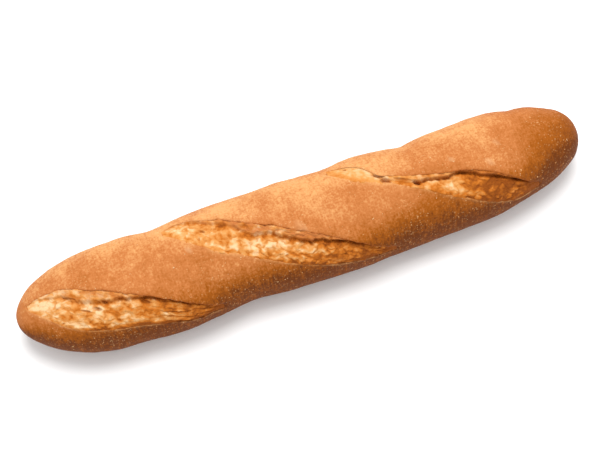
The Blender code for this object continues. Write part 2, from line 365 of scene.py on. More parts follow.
# ---- stage ----------------------------------------------------------------------------
VIEW_AZIMUTH, VIEW_ELEVATION = -20.35, 68.0  # degrees, azimuth 0 seen from the near side
VIEW_AIM = (0.0, 0.0, 0.020)
VIEW_DISTANCE = 0.80
LENS, SENSOR = 85, 36        # millimetres
FLOOR_SIZE = 3.0
SKY_STRENGTH = 0.95


# =======================================================================================
# Sizes and colours a user would change
# =======================================================================================


def hex_colour(code):
    """Linear RGBA of an sRGB hex colour."""
    parts = (int(code[i:i + 2], 16) / 255 for i in (1, 3, 5))
    linear = (c / 12.92 if c <= 0.04045 else ((c + 0.055) / 1.055) ** 2.4 for c in parts)
    return (*linear, 1.0)


def colour_property(name, code, description):
    """A colour that a user can change."""
    return FloatVectorProperty(
        name=name, description=description, default=hex_colour(code), subtype="COLOR", size=4,
        min=0.0, max=1.0,
    )


class BaguetteSizes(bpy.types.PropertyGroup):
    """Sizes of the loaf and of its surface."""

    length: FloatProperty(
        name="Length", default=LOAF_HIGH.x - LOAF_LOW.x, unit="LENGTH",
        description="From tip to tip",
    )
    width: FloatProperty(
        name="Width", default=LOAF_HIGH.y - LOAF_LOW.y, unit="LENGTH",
        description="Across the widest swell",
    )
    height: FloatProperty(
        name="Height", default=LOAF_HIGH.z - LOAF_LOW.z, unit="LENGTH",
        description="From the underside to the highest ear",
    )
    unevenness: FloatProperty(
        name="Unevenness", default=0.45 * MM, unit="LENGTH",
        description="How far the crust wanders from a smooth form",
    )
    lump_relief: FloatProperty(
        name="Crumb lumps", default=1.45 * MM, unit="LENGTH",
        description="Height of the torn lumps in the cuts",
    )
    fleck_count: IntProperty(
        name="Flour flecks", default=420, min=0,
        description="How many clots of flour lie on the crust",
    )


class BaguetteColours(bpy.types.PropertyGroup):
    """Colours of crust, crumb and flour."""

    golden: colour_property("Golden crust", "#B56E3A", "Thin crust of the crown")
    amber: colour_property("Amber crust", "#965010", "Crust between crown and side")
    brown: colour_property("Brown crust", "#66320C", "Well baked crust near the underside")
    pale: colour_property("Pale crust", "#CF965E", "Crust that took the least colour")
    seared: colour_property("Seared edge", "#A0531F", "Thin edge of an ear")
    cream: colour_property("Cream crumb", "#DDB88B", "Torn crumb that stayed pale")
    gold_crumb: colour_property("Golden crumb", "#CB8D4D", "Torn crumb with some colour")
    orange_crumb: colour_property("Orange crumb", "#B8681F", "Torn crumb with more colour")
    toast: colour_property("Toasted crumb", "#854412", "Torn crumb that baked hard")
    # painted shade for the crumb's creases, grooves and holes
    hollow: colour_property("Hollow", "#8A4712", "Crumb deep in a crease or pit")
    flour: colour_property("Flour", "#D2A87C", "Dusting flour")
    speck: colour_property("Flour specks", "#DDB07A", "Flour that baked into the skin")


# =======================================================================================
# The smooth loaf
# =======================================================================================


def sizes():
    """The scene's sizes of the loaf."""
    return bpy.context.scene.baguette_sizes


def colour(name):
    """One of the scene's colours of the loaf."""
    return tuple(getattr(bpy.context.scene.baguette_colours, name))


def smoothstep(low, high, value):
    """0 at low, 1 at high and beyond, and a soft rise between. low may be the greater."""
    t = np.clip((value - low) / (high - low), 0.0, 1.0)
    return t * t * (3 - 2 * t)


def smooth_values(places, values, at):
    """Values, or rows of values, read at each place of a smooth line through the given ones."""
    places = places.astype(float)
    sides = (-1,) + (1,) * (values.ndim - 1)
    run = places.reshape(sides)
    slopes = np.empty_like(values)
    slopes[1:-1] = (values[2:] - values[:-2]) / (run[2:] - run[:-2])
    slopes[0] = (values[1] - values[0]) / (places[1] - places[0])
    slopes[-1] = (values[-1] - values[-2]) / (places[-1] - places[-2])
    i = np.clip(np.searchsorted(places, at, side="right") - 1, 0, len(places) - 2)
    gap = (places[i + 1] - places[i]).reshape(sides)
    t = np.clip((at - places[i]).reshape(sides) / gap, 0.0, 1.0)
    return (
        (2 * t**3 - 3 * t**2 + 1) * values[i]
        + (t**3 - 2 * t**2 + t) * gap * slopes[i]
        + (3 * t**2 - 2 * t**3) * values[i + 1]
        + (t**3 - t**2) * gap * slopes[i + 1]
    )


def smooth_line(points, at):
    """Value at each place of a smooth line through (place, value) points."""
    places, values = np.array(points, dtype=float).T
    return smooth_values(places, values, at)


def nose_scale(x):
    """Size of the section at station x, 1 in the middle and 0 at the two tips."""
    scale = np.ones_like(x)
    half = sizes().length / 2
    for nose, away in ((LEFT_NOSE, half + x), (RIGHT_NOSE, half - x)):
        reached = np.clip(away / nose.reach, 0.0, 1.0)
        scale *= np.maximum(1.0 - (1.0 - reached) ** nose.point, 0.0) ** (1.0 / nose.blunt)
    return scale


def swollen(x, swells):
    """How far the given swells push a side out at station x."""
    station = x / sizes().length + 0.5
    return sum(s.rise * np.exp(-(((station - s.station) / s.spread) ** 2)) for s in swells)


def bow(x):
    """How far the loaf's middle line has curled to the far side at station x."""
    reach = np.where(x < 0, LEFT_NOSE.bow, RIGHT_NOSE.bow)
    return reach * np.abs(2 * x / sizes().length) ** BOW_POWER


def loaf_point(x, angle):
    """Points of the smooth loaf, one row each."""
    turn = np.radians(angle)
    scale = nose_scale(x)
    half = BELLY_SHARE * sizes().width / 2 * (1.0 - TAPER * 2 * x / sizes().length)
    far_half = half + swollen(x, FAR_SWELLS) + swollen(x, FAR_FOLDS)
    near_half = half + swollen(x, NEAR_SWELLS)
    side = smoothstep(-SIDE_BLEND, SIDE_BLEND, np.sin(turn))
    half = near_half + (far_half - near_half) * side
    crown = CROWN_SHARE * sizes().height
    widest = WIDEST_AT * crown
    rise = np.where(np.cos(turn) > 0, crown - widest, widest * UNDERSIDE_DROP)
    y = half * scale * np.sin(turn) * (1.0 + SHOULDER * np.cos(turn) ** 2) + bow(x)
    z = widest + rise * scale * np.cos(turn)
    z = (z + np.sqrt(z * z + BASE_ROUNDING**2)) / 2
    return np.stack([x, y, z], axis=-1)


def unit(vectors):
    """The same directions, 1 long."""
    return vectors / np.maximum(np.linalg.norm(vectors, axis=-1, keepdims=True), 1e-12)


def loaf_normal(x, angle):
    """Outward directions of the smooth loaf, from points a small step and turn apart."""
    step, turn = 0.4 * MM, 0.5
    inside = sizes().length / 2 - step
    x = np.clip(x, -inside, inside)
    along = loaf_point(x + step, angle) - loaf_point(x - step, angle)
    across = loaf_point(x, angle + turn) - loaf_point(x, angle - turn)
    return unit(np.cross(along, across))


def over_loaf(x, lay, height):
    """Points at a height over the loaf's uneven skin, placed by station and lay."""
    angle = lay - SLANT * x
    smooth = loaf_point(x, angle)
    wander = sum(wave.weight * fractal(smooth, wave.size, 2, wave.seed) for wave in CRUST_WAVES)
    off_base = smoothstep(STILL_BELOW, FREE_ABOVE, smooth[:, 2])
    off_tip = smoothstep(0.0, STILL_TIP, sizes().length / 2 - np.abs(x))
    height = height + sizes().unevenness * wander * off_base * off_tip
    return smooth + height[:, None] * loaf_normal(x, angle)


def along_cut(cut, x):
    """Place of station x along a cut: 0 and 1 at its tips."""
    first, final = cut.ear[0][0], cut.ear[-1][0]
    return (x - first) / (final - first)


def openness(place):
    """How far a cut has opened: 0 at its tips and beyond, 1 along its middle."""
    return np.sqrt(smoothstep(0.0, TIP_RUN, place) * smoothstep(0.0, TIP_RUN, 1.0 - place))


# =======================================================================================
# Noise over many points
# =======================================================================================


def fractal(points, size, octaves=4, seed=0.0):
    """Soft noise in -1..1 with features of the given size, for points in metres."""
    shift = Vector((seed * 13.7, seed * 7.3, seed * 3.1))
    scaled = points / size
    return np.array([noise.fractal(Vector(p) + shift, 0.9, 2.0, octaves) for p in scaled])


def ridges(points, size, octaves=3, seed=0.0):
    """Noise with sharp crests, about 0..1."""
    shift = Vector((seed * 5.1, seed * 9.7, seed * 2.3))
    places = [Vector(p) + shift for p in points / size]
    return np.array([noise.ridged_multi_fractal(p, 0.9, 2.0, octaves, 1.0, 2.0) for p in places]) / 2.0


def cells(points, size, seed=0.0):
    """Distances to the nearest and the next cell seed, and a random share for each cell."""
    shift = Vector((seed * 3.3, seed * 8.9, seed * 6.1))
    scaled = points / size
    near, second, chance = [], [], []
    for p in scaled:
        distances, seeds = noise.voronoi(Vector(p) + shift)
        near.append(distances[0])
        second.append(distances[1])
        chance.append(noise.cell(seeds[0] * 7.3 + shift))
    return np.array(near), np.array(second), np.array(chance)


def lumps(points, size, seed=0.0):
    """Rounded lumps of uneven height with grooves between them, 0..1."""
    near, second, chance = cells(points, size, seed)
    inside = np.clip((second - near) / GROOVE_REACH, 0.0, 1.0)
    return (1.0 - (1.0 - inside) ** 2) * (LEAST_LUMP + (1.0 - LEAST_LUMP) * chance)


def away(along, across, place):
    """Distance from a marked place, squared, with the place's own reach as 1."""
    return (along / place.length) ** 2 + (across / place.spread) ** 2


# =======================================================================================
# Crust
# =======================================================================================


def edge_lines(cut, x):
    """Lay of a cut's rim and ear at station x, a little uneven as torn dough is."""
    rim, ear = smooth_line(cut.rim, x), smooth_line(cut.ear, x)
    opened = openness(along_cut(cut, x))
    zero = np.zeros_like(x)
    along = np.stack([x, zero + cut.seed, zero], axis=-1)
    for tear in RIM_TEARS:
        rim = rim + opened * tear.reach * fractal(along, tear.size, 3, cut.seed + tear.seed)
    for tear in EAR_TEARS:
        ear = ear + opened * tear.reach * fractal(along, tear.size, 3, cut.seed + tear.seed)
    return rim, ear


def crust_table(stations):
    """Lay and height of every mesh line of the crust at the given stations."""
    lays, heights = [], []
    bands = []
    for cut in CUTS:
        place = along_cut(cut, stations)
        opened = openness(place)
        rim, ear = edge_lines(cut, stations)
        edge = {"rim": rim, "ear": ear}
        raised = {"rim": smooth_line(cut.rough, place), "ear": smooth_line(cut.lift, place)}
        sunk = np.ones_like(place)
        row_line = np.cumsum([row.lines for row in CRUST_PROFILE])
        row_lay = np.stack([edge[row.edge] + row.offset for row in CRUST_PROFILE])
        row_height = np.stack([
            row.height * MM * (raised[row.edge] if row.height > 0 else sunk) for row in CRUST_PROFILE
        ])
        start, end = row_lay[0], row_lay[-1]
        flat = start + (end - start) * (row_line / BAND_LINES)[:, None]
        row_lay = flat + (row_lay - flat) * opened
        row_height = row_height * opened
        lines = np.arange(BAND_LINES + 1)
        bands.append((
            smooth_values(row_line, row_lay, lines),
            smooth_values(row_line, row_height, lines),
        ))
    whole_turn = bands[0][0][0] + 360.0
    starts = [lay[0] for lay, _ in bands[1:]] + [whole_turn]
    for (lay, height), gap, following in zip(bands, GAP_LINES, starts):
        shares = (np.arange(1, gap) / gap)[:, None]
        lays += [lay, lay[-1] + (following - lay[-1]) * shares]
        heights += [height, np.zeros((gap - 1, len(stations)))]
    lays.append(whole_turn[None])
    heights.append(np.zeros((1, len(stations))))
    return np.concatenate(lays), np.concatenate(heights)


def station_of(run):
    """Station along X of a ring, with run from 0 at the -X tip to 1 at the +X tip."""
    crowded, even = -np.cos(np.pi * run), 2 * run - 1
    return sizes().length / 2 * (TIP_CROWDING * crowded + (1 - TIP_CROWDING) * even)


class CrustSheet:
    """Maps (station, mesh line) to the crust's surface."""

    def __init__(self):
        half = sizes().length / 2
        self.stations = np.linspace(-half, half, TABLE_STATIONS)
        self.lay_table, self.height_table = crust_table(self.stations)

    def look_up(self, table, x, line):
        """A table's value at each (station, mesh line), between its four nearest entries."""
        half = sizes().length / 2
        s = np.clip((x + half) / (2 * half) * (TABLE_STATIONS - 1), 0, TABLE_STATIONS - 1.001)
        n = np.clip(line, 0, TOTAL_LINES - 1e-6)
        row, column = n.astype(int), s.astype(int)
        down, right = n - row, s - column
        return (
            table[row, column] * (1 - down) * (1 - right)
            + table[row, column + 1] * (1 - down) * right
            + table[row + 1, column] * down * (1 - right)
            + table[row + 1, column + 1] * down * right
        )

    def lay(self, x, line):
        """Lay of points of the crust."""
        return self.look_up(self.lay_table, x, line)

    def place(self, x, line):
        """Points of the crust."""
        return over_loaf(x, self.lay(x, line), self.look_up(self.height_table, x, line))


def band_line(line):
    """Which cut's band each mesh line is in, and its line within the band."""
    band = np.full(line.shape, -1)
    within = np.zeros_like(line)
    start = 0.0
    for index, gap in enumerate(GAP_LINES):
        inside = (line >= start) & (line <= start + BAND_LINES)
        band[inside] = index
        within[inside] = line[inside] - start
        start += BAND_LINES + gap
    return band, within


def sphere_with_poles_on_x(segments, rings):
    """A UV sphere with its poles on X."""
    bm = bmesh.new()
    bmesh.ops.create_uvsphere(bm, u_segments=segments, v_segments=rings, radius=1.0)
    bmesh.ops.rotate(bm, verts=bm.verts, cent=(0, 0, 0), matrix=Matrix.Rotation(math.pi / 2, 3, "Y"))
    return bm


def sphere_coordinates(co):
    """Run from tip to tip 0..1, and turn round X in degrees, of points on such a sphere."""
    directions = unit(co)
    run = 1.0 - np.arccos(np.clip(directions[:, 0], -1.0, 1.0)) / np.pi
    turn = np.degrees(np.arctan2(directions[:, 1], directions[:, 2]))
    return run, turn


def read_vertices(mesh):
    """Places of a mesh's vertices, one row each."""
    co = np.empty(len(mesh.vertices) * 3, dtype=np.float32)
    mesh.vertices.foreach_get("co", co)
    return co.reshape(-1, 3).astype(float)


def write_vertices(mesh, co):
    """Move a mesh's vertices to new places."""
    mesh.vertices.foreach_set("co", np.ascontiguousarray(co, dtype=np.float32).ravel())
    mesh.update()


def write_attribute(mesh, name, values):
    """A number on each vertex, for a material to read."""
    layer = mesh.attributes.new(name, "FLOAT", "POINT")
    layer.data.foreach_set("value", np.ascontiguousarray(values, dtype=np.float32))


def face_outwards(mesh):
    """Turn every face of a closed mesh outwards."""
    bm = bmesh.new()
    bm.from_mesh(mesh)
    bmesh.ops.recalc_face_normals(bm, faces=bm.faces)
    bm.to_mesh(mesh)
    bm.free()


def crust_is_fine(run, turn):
    """Whether a face centre lies by an ear or a rim, where the mesh is made finer."""
    x = station_of(run)
    band, within = band_line((turn + 180.0) / 360.0 * TOTAL_LINES)
    fine = np.zeros(x.shape, dtype=bool)
    for index, cut in enumerate(CUTS):
        place = along_cut(cut, x)
        fine |= (band == index) & (place > -0.01) & (place < 1.01)
    by_rim = (within > FINE_FROM) & (within < HIDDEN_FROM)
    by_ear = (within > HIDDEN_TO) & (within < FINE_TO)
    return fine & (by_rim | by_ear)


def new_piece(name, mesh, material):
    """An object that is part of the loaf, with its material."""
    mesh.materials.append(material)
    mesh.shade_smooth()
    piece = bpy.data.objects.new(name, mesh)
    bpy.context.scene.collection.objects.link(piece)
    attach(piece, "root")
    return piece


def build_crust():
    """The whole outer skin: crown, sides, underside, rims and overhanging ears."""
    bm = sphere_with_poles_on_x(TOTAL_LINES, CRUST_RINGS)
    bm.faces.index_update()
    centres = np.array([face.calc_center_median()[:] for face in bm.faces])
    fine = crust_is_fine(*sphere_coordinates(centres))
    edges = [edge for edge in bm.edges if any(fine[face.index] for face in edge.link_faces)]
    bmesh.ops.subdivide_edges(bm, edges=edges, cuts=FINE_CUTS, use_grid_fill=True)
    mesh = bpy.data.meshes.new("crust")
    bm.to_mesh(mesh)
    bm.free()

    sheet = CrustSheet()
    run, turn = sphere_coordinates(read_vertices(mesh))
    x = station_of(run)
    line = (turn + 180.0) / 360.0 * TOTAL_LINES
    points = centred(sheet.place(x, line))
    write_vertices(mesh, points)
    paint_crust(mesh, x, line, sheet.lay(x, line), points)
    face_outwards(mesh)
    piece = new_piece("crust", mesh, crust_material())
    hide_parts("loaf")
    return piece


def plan_shift():
    """Shift along Y that centres the smooth loaf's outline on the frame's."""
    x = np.linspace(-1, 1, 400) * sizes().length / 2
    low = loaf_point(x, np.full_like(x, -90.0))[:, 1].min()
    high = loaf_point(x, np.full_like(x, 90.0))[:, 1].max()
    return (LOAF_LOW.y + LOAF_HIGH.y) / 2 - (low + high) / 2


def centred(points):
    """Points moved from the loaf's own middle to their place in the frame."""
    return points + np.array([(LOAF_LOW.x + LOAF_HIGH.x) / 2, plan_shift(), LOAF_LOW.z])


def on_mark(mark, within):
    """How near each mesh line of a band is to a mark, 1 on it."""
    return np.exp(-(((within - mark.line) / mark.spread) ** 2))


def edge_marks(x, line):
    """How strong the ears' lips, the rims' painted highlight and skin stretched at a tip are."""
    band, within = band_line(line)
    lip, rim, stretch = (np.zeros_like(x) for _ in range(3))
    for index, cut in enumerate(CUTS):
        here = band == index
        place = along_cut(cut, x)
        opened = openness(place) * here
        fuzz = smooth_line(cut.fuzz, place)
        raised = np.clip(smooth_line(cut.lift, place), LEAST_LIP, 1.0)
        began = smoothstep(-0.06, 0.05, place) * (place < 1.0)
        lip = np.maximum(lip, opened * raised * on_mark(LIP_MARK, within))
        # a pale line along the rim: painted highlight
        rim = np.maximum(rim, opened * (1 - fuzz) * on_mark(RIM_HIGHLIGHT_MARK, within))
        stretch = np.maximum(stretch, here * began * fuzz * on_mark(STRETCH_MARK, within))
    return lip, rim, stretch


def browning(x, turn, points, sides, ends):
    """How baked each place of the crust is, with painted shade on the near side and painted light on
    the far crown.
    """
    bake = sides + END_BAKE * ends * (1 - sides) + PATCH_BAKE * fractal(points, PATCH_SIZE, 3, 5.0)
    # the far crown faces the light and is painted paler: painted light
    bake -= PAINTED_LIGHT_ON_CREST * smoothstep(*LIT_CREST, turn) * (1 - smoothstep(80.0, 125.0, turn))
    for patch in TONE_PATCHES:
        bake += patch.amount * np.exp(-away(x - patch.station, turn - patch.turn, patch))
    return np.clip(bake, PALEST, 1.0)


def paint_crust(mesh, x, line, lay, points):
    """Numbers on the crust's vertices that tell its material what each place is."""
    turn = (lay - SLANT * x + 180.0) % 360.0 - 180.0
    near_side = smoothstep(*NEAR_SIDE, -turn)
    sides = np.maximum(near_side, smoothstep(*FAR_SIDE, turn))
    towards_end = x / (sizes().length / 2)
    ends = smoothstep(*RIGHT_END, towards_end)
    ends += LEFT_END_SHARE * smoothstep(*LEFT_END, -towards_end)
    # the near side's browning is partly painted shade, and the far crown's paleness is painted light
    write_attribute(mesh, "bake", browning(x, turn, points, sides, ends))
    write_attribute(mesh, "even", np.ones_like(x))
    write_attribute(mesh, "grain", 0.85 + 0.95 * sides)
    write_attribute(mesh, "strokes", 0.50 + 1.40 * near_side)

    drifts = fractal(points, DRIFT_SIZE, 3, 7.0)
    dusting = np.clip(0.60 + 0.50 * near_side + 0.2 * ends + 1.1 * drifts, 0.25, 1.5)
    for patch in FLOUR_PATCHES:
        apart = np.hypot(x - patch.station, (lay - patch.lay) * DEGREE) / patch.radius
        dusting += FULL_DRIFT * np.exp(-(apart**2))
    write_attribute(mesh, "dusting", dusting)

    # the painted highlight along the rims breaks up here and there, and the stretched skin is ragged
    lip, rim, stretch = edge_marks(x, line)
    rim_highlight_strength = 0.55 + 0.9 * fractal(points, 4 * MM, 3, 6.0)
    ragged = 0.75 + 1.1 * fractal(points, 5 * MM, 4, 8.0)
    write_attribute(mesh, "lip", np.clip(lip, 0, 1))
    write_attribute(mesh, "rim", np.clip(rim * rim_highlight_strength, 0, 1))
    write_attribute(mesh, "stretch", np.clip(stretch * ragged, 0, 1))


# =======================================================================================
# Torn crumb
# =======================================================================================


def crumb_section(cut, place, across):
    """Section of a cut's crumb before its tears: gully, swell below it and ledge above it.

    across goes from 0 at the rim to 1 at the ear. Gives the height in millimetres, how near
    each point is to the gully, and how far up the ledge it lies.
    """
    along = np.stack([place, np.full_like(place, cut.seed), np.zeros_like(place)], axis=-1)
    wobble = fractal(along, 0.055, 3, cut.seed + 11)
    ledge = smooth_line(cut.ledge, place)
    ledge = ledge + 0.10 * wobble * smoothstep(0.05, 0.2, ledge)
    crease = smooth_line(cut.crease, place) * (1.0 + 0.5 * fractal(along, 0.035, 2, cut.seed + 12))
    gully = GULLY_LINE - ledge
    below = np.clip(across / gully, 0.0, 1.0)
    above = np.clip((across - gully) / np.maximum(1.0 - gully, 1e-6), 0.0, 1.0)
    swell = np.sin(np.pi * below**0.85) ** 0.8
    floor = -0.10 + smooth_line(cut.bulge, place) * swell - GULLY_DIP * smoothstep(0.35, 0.8, below)
    fall = smoothstep(0.89, 1.0, below)
    floor = floor * (1 - fall) - crease * fall
    top = 0.05 + 1.05 * smooth_line(cut.lift, place)
    shelf = -crease + (crease + top) * smoothstep(0.0, 0.28, above)
    height = np.where(across < gully, floor, shelf)
    near_gully = np.exp(-(((across - gully) / 0.05) ** 2))
    return height, near_gully, above


def holes(cut, x, lay):
    """Depth in millimetres of the holes in a cut's crumb, and the painted shade in them."""
    depth, shade = np.zeros_like(x), np.zeros_like(x)
    for hole in HOLES:
        if hole.cut == cut.name:
            inside = np.exp(-(away(x - hole.station, lay - hole.lay, hole) ** 2))
            depth += hole.depth * inside
            shade += inside
    return depth, shade


def grain_of(cut, x, lay):
    """Points in a plane along and across a cut, in metres, on which its noise is drawn."""
    turn = lay - SLANT * x
    along = (x - math.tan(SLANT_ON_SKIN) * turn * DEGREE) * math.cos(SLANT_ON_SKIN)
    across = lay * DEGREE * math.cos(SLANT_ON_SKIN)
    return np.stack([along, across, np.full_like(x, cut.seed * MM)], axis=-1)


def build_crumb(cut):
    """The torn crumb that fills one cut: lumps, torn sheets, a gully and a brown ledge."""
    bm = sphere_with_poles_on_x(CRUMB_SEGMENTS, CRUMB_RINGS)
    mesh = bpy.data.meshes.new(f"crumb_{cut.name}")
    bm.to_mesh(mesh)
    bm.free()
    run, turn = sphere_coordinates(read_vertices(mesh))

    # most of the segments go to the upper side
    share = np.abs(turn) / 180.0
    upper = share <= CRUMB_TOP_SHARE
    under = np.clip((1.0 - share) / (1.0 - CRUMB_TOP_SHARE), 0.0, 1.0)
    across = 0.5 + np.sign(turn) * np.where(upper, share / CRUMB_TOP_SHARE, under) / 2

    first, final = cut.ear[0][0], cut.ear[-1][0]
    crowded = (1 - np.cos(np.pi * run)) / 2
    place = TIP_INSET + (1 - 2 * TIP_INSET) * (run + crowded) / 2
    x = first + (final - first) * place
    opened = openness(place)
    rim, ear = edge_lines(cut, x)
    low, high = rim - RIM_OVERLAP, ear + EAR_OVERLAP
    lay = low + (high - low) * across
    past_rim = (lay - rim) * opened

    surface, near_gully, above = crumb_section(cut, place, across)
    grain = grain_of(cut, x, lay)
    on_ledge = smoothstep(0.0, 0.3, above)
    relief, shift, cavity_shade = crumb_relief(cut, place, across, on_ledge, grain)
    depth, shade = holes(cut, x, lay)

    # the relief dies out under the ear and by the rim, and fuzzy borders end in tatters
    fuzz = smooth_line(cut.fuzz, place)
    out_of_ear = smoothstep(0.0, 6.0, high - lay)
    in_from_rim = smoothstep(-2.6 - fuzz, 0.6 - 1.4 * fuzz, past_rim)
    relief = relief * out_of_ear * (0.30 + 0.70 * opened) * (0.40 + 0.60 * in_from_rim)
    height = (surface - depth) * MM + relief
    height -= RIM_TUCK * (1 - in_from_rim) + EAR_TUCK * (1 - smoothstep(0.0, 0.07, 1 - across))
    tatters = 0.60 * fractal(grain, 1.8 * MM, 3, cut.seed + 13) + 0.12
    height += fuzz * tatters * MM * np.exp(-(((past_rim + 0.8) / 1.8) ** 2))
    height = height * opened - 0.30 * MM * (1 - opened)
    buried = -(BURIED * opened + BURIED_AT_TIP)
    rounded = 1 - np.sin(np.pi / 2 * (1 - under))
    height = np.where(upper, height, buried + (height - buried) * rounded)
    write_vertices(mesh, centred(over_loaf(x, lay, height)))

    # heat toasted the crumb more by a clean rim than by a fuzzy one; by the gully it is darkened as
    # painted shade, and its crests are painted paler as painted highlight
    by_rim = 1.0 - smoothstep(0.5, 7.5, past_rim)
    toast = smooth_line(cut.toast, place) + (0.50 - 0.40 * fuzz) * by_rim + shift + 0.12 * near_gully
    for patch in CRUMB_PATCHES:
        if patch.cut == cut.name:
            toast += patch.amount * np.exp(-away(x - patch.station, lay - patch.lay, patch))
    torn_skin = 0.80 + 1.3 * fractal(grain * SHEET_STRETCH, 2.6 * MM, 3, cut.seed + 15)
    skin = smooth_line(cut.skin, place) * on_ledge * torn_skin
    # painted shade in the gully, the grooves, between the layers and in the holes
    gully = near_gully * smoothstep(0.8, 3.0, smooth_line(cut.crease, place))
    write_attribute(mesh, "toast", np.clip(toast, 0.0, 1.0))
    write_attribute(mesh, "skin", np.clip(skin, 0.0, 1.0))
    write_attribute(mesh, "hollow", np.clip(gully + cavity_shade + 0.9 * shade, 0.0, 1.0))
    face_outwards(mesh)
    return new_piece(f"crumb_{cut.name}", mesh, crumb_material())


def crumb_relief(cut, place, across, on_ledge, grain):
    """Relief of the torn crumb in metres, how it shifts the toasting, with painted highlight on crests
    and painted shade in grooves, and the painted shade in its grooves and splits.
    """
    seed = cut.seed
    warp = np.stack([
        fractal(grain, BEND, 3, seed + 1),
        fractal(grain, BEND, 3, seed + 2),
        np.zeros(len(grain)),
    ], axis=-1) * BEND_REACH
    bent = grain + warp
    big = lumps(bent * LUMP_STRETCH, BIG_LUMP, seed) - 0.45
    small = np.hypot(fractal(bent * LUMP_STRETCH, SMALL_LUMP, 3, seed + 3), 0.14) - 0.27
    blotches = fractal(bent * LUMP_STRETCH, BLOTCH, 2, seed + 16)
    torn = ridges(bent * SHEET_STRETCH, SHEET, 3, seed + 4) - 0.5
    fine = fractal(bent, POROUS, 3, seed + 5)
    fibres = fractal(bent * FIBRE_STRETCH, FIBRE, 3, seed + 6)
    patches = fractal(grain, DRAWN_PATCH, 2, seed + 8)
    near, _, chance = cells(bent, BUBBLE_SPACING, seed + 9)
    bubble = smoothstep(0.26, 0.10, near) * (chance > 0.5)

    # the dough tore in lumps, and in fibres on the ledge and where it was drawn out
    drawn_out = smooth_line(cut.strands, place)
    flap = on_ledge * smooth_line(cut.skin, place)
    strands = np.maximum(drawn_out, flap)
    lumpy = 0.62 * (big + 0.05) + 0.70 * small + 0.08 * torn + 0.13 * fine - 0.45 * bubble
    fibrous = 0.42 * fibres + 0.26 * torn + 0.40 * small + 0.14 * fine
    layer = (LAYERS * across + 0.5 * fractal(bent * FIBRE_STRETCH, SHEET, 2, seed + 14)) % 1.0
    split = np.exp(-(((layer - 0.5) / 0.13) ** 2)) * smoothstep(0.55, 1.0, drawn_out)
    fibrous = (fibrous - 0.55 * split) * (1 + 0.6 * flap)
    relief = lumpy * (1 - strands) + fibrous * strands

    # crests are painted paler as painted highlight and grooves toasted darker as painted shade, and
    # blotches took more or less colour
    rough = smooth_line(cut.rough, place)
    shift = 0.20 * patches - 0.12 * big * (1 - strands) - 0.36 * small
    shift += 0.30 * fibres * strands + 0.05 * fine + 0.38 * blotches
    cavity_shade = smoothstep(-0.08, -0.42, relief) * rough
    relief = sizes().lump_relief * rough * (relief + 0.25 * patches)
    # the toasting is pushed darker in the grooves as painted shade, and the last value is painted shade
    # in the grooves and between the layers
    return relief, shift * (0.2 + 0.8 * rough) + 0.15 * cavity_shade, 0.4 * cavity_shade + 0.5 * split


# =======================================================================================
# Flour clots
# =======================================================================================


def build_flecks():
    """Clots of flour, each a flattened pebble half sunk in the crust."""
    rng = np.random.default_rng(41)
    sheet = CrustSheet()
    wanted = sizes().fleck_count
    x = rng.uniform(-0.95, 0.95, wanted * CLOT_TRIES) * sizes().length / 2
    line = rng.uniform(0, TOTAL_LINES, wanted * CLOT_TRIES)
    band, within = band_line(line)
    angle = sheet.lay(x, line) - SLANT * x
    turn = (angle + 180.0) % 360.0 - 180.0
    on_crown = np.abs(turn - CLOT_MIDDLE) < CLOT_REACH
    in_cut = np.zeros(len(x), dtype=bool)
    for index, cut in enumerate(CUTS):
        place = along_cut(cut, x)
        open_here = (band == index) & (place > 0) & (place < 1)
        in_cut |= open_here & (within > IN_CUT[0]) & (within < IN_CUT[1])
    keep = np.flatnonzero(on_crown & ~in_cut)[:wanted]
    x, line, angle = x[keep], line[keep], angle[keep]
    bm = bmesh.new()
    for spot, normal in zip(centred(sheet.place(x, line)), loaf_normal(x, angle)):
        size = rng.uniform(*CLOT_SIZES) * (1.0 + LARGER_BY * (rng.random() > LARGE_CLOTS))
        stretch = rng.uniform(0.7, 1.5)
        twist = Matrix.Rotation(rng.uniform(0, math.pi), 4, "Z")
        stand = Vector(normal).to_track_quat("Z", "Y").to_matrix().to_4x4()
        shape = Matrix.Diagonal((size * stretch, size / stretch, size * CLOT_FLATNESS, 1.0))
        bmesh.ops.create_icosphere(
            bm, subdivisions=1, radius=1.0,
            matrix=Matrix.Translation(Vector(spot)) @ stand @ twist @ shape,
        )
    mesh = bpy.data.meshes.new("flour_flecks")
    bm.to_mesh(mesh)
    bm.free()
    return new_piece("flour_flecks", mesh, flour_material())


# =======================================================================================
# Materials
# =======================================================================================


def add_node(tree, kind, settings=None, **links):
    """Add a node. Links and values go to its inputs by name, or by number as in_0."""
    node = tree.nodes.new(kind)
    for key, value in (settings or {}).items():
        setattr(node, key, value)
    for key, value in links.items():
        by_number = key.startswith("in_")
        socket = node.inputs[int(key[3:]) if by_number else key.replace("_", " ")]
        if isinstance(value, bpy.types.NodeSocket):
            tree.links.new(value, socket)
        else:
            socket.default_value = value
    return node


def new_material(name):
    """A material, its node tree and its shader."""
    material = bpy.data.materials.new(name)
    material.use_nodes = True
    return material, material.node_tree, material.node_tree.nodes["Principled BSDF"]


